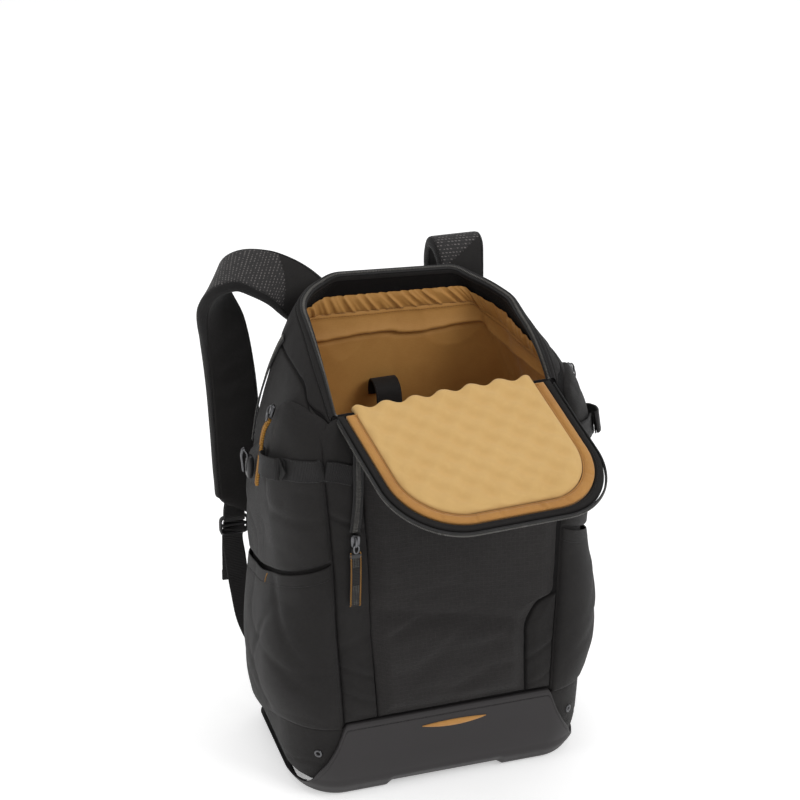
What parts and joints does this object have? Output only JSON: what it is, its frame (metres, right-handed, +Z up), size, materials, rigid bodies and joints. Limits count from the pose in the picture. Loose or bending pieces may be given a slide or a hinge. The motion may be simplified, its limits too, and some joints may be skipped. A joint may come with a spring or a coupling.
{
  "type": "camera backpack",
  "caption": "Upright camera backpack with its top flap folded open, tan lining, laptop sleeve, moulded base, side pockets and two padded shoulder straps.",
  "frame": {"origin": "centre of the body on the floor it stands on, at the underside of the base", "axes": "+Z up through the mouth, -Y out of the front pocket the flap folds over, +Y towards the shoulder straps, +X to the right seen from the front"},
  "size_m": [0.3592, 0.3538, 0.4955],
  "materials": {
    "black_cloth": "matt woven nylon with a fine ripstop grid",
    "coated": "satin moulded sheet",
    "tan_cloth": "smooth woven lining",
    "pad_cloth": "brushed cloth over egg-crate foam",
    "gold_webbing": "fine ribbed webbing",
    "zip_coil": "satin nylon coil",
    "gunmetal": "dark satin metal",
    "black_plastic": "satin moulded plastic",
    "black_webbing": "ribbed webbing",
    "padded_mesh": "padded cloth with a woven mesh face"
  },
  "bodies": {
    "root": {"body_shell": "black_cloth", "base": "coated", "front_pocket": "black_cloth", "front_strip_left": "black_cloth", "front_strip_right": "black_cloth", "side_pocket_left": "black_cloth", "side_pocket_right": "black_cloth", "side_pouch_left": "black_cloth", "side_pouch_right": "black_cloth", "mouth_zip": "zip_coil", "flap_shell": "black_cloth", "flap_edge": "tan_cloth", "flap_pad": "pad_cloth", "flap_zip": "zip_coil", "lining": "tan_cloth", "lining_band": "tan_cloth", "laptop_sleeve": "tan_cloth", "laptop_retainer": "black_webbing", "front_zip": "zip_coil", "front_zip_slider": "gunmetal", "front_zip_pull": "black_webbing", "side_slider_left": "gunmetal", "side_pull_left": "gold_webbing", "side_webbing_left": "black_webbing", "side_hook_left": "black_plastic", "side_slider_right": "gunmetal", "side_pull_right": "gold_webbing", "side_webbing_right": "black_webbing", "side_hook_right": "black_plastic", "back_zip": "zip_coil", "back_panel": "padded_mesh", "shoulder_strap_left": "padded_mesh", "ladder_lock_left": "black_plastic", "strap_webbing_left": "black_webbing", "shoulder_strap_right": "padded_mesh", "ladder_lock_right": "black_plastic", "strap_webbing_right": "black_webbing", "haul_handle": "black_webbing", "base_accent": "tan_cloth", "eyelet_left": "gunmetal", "eyelet_right": "gunmetal"}
  },
  "joints": []
}
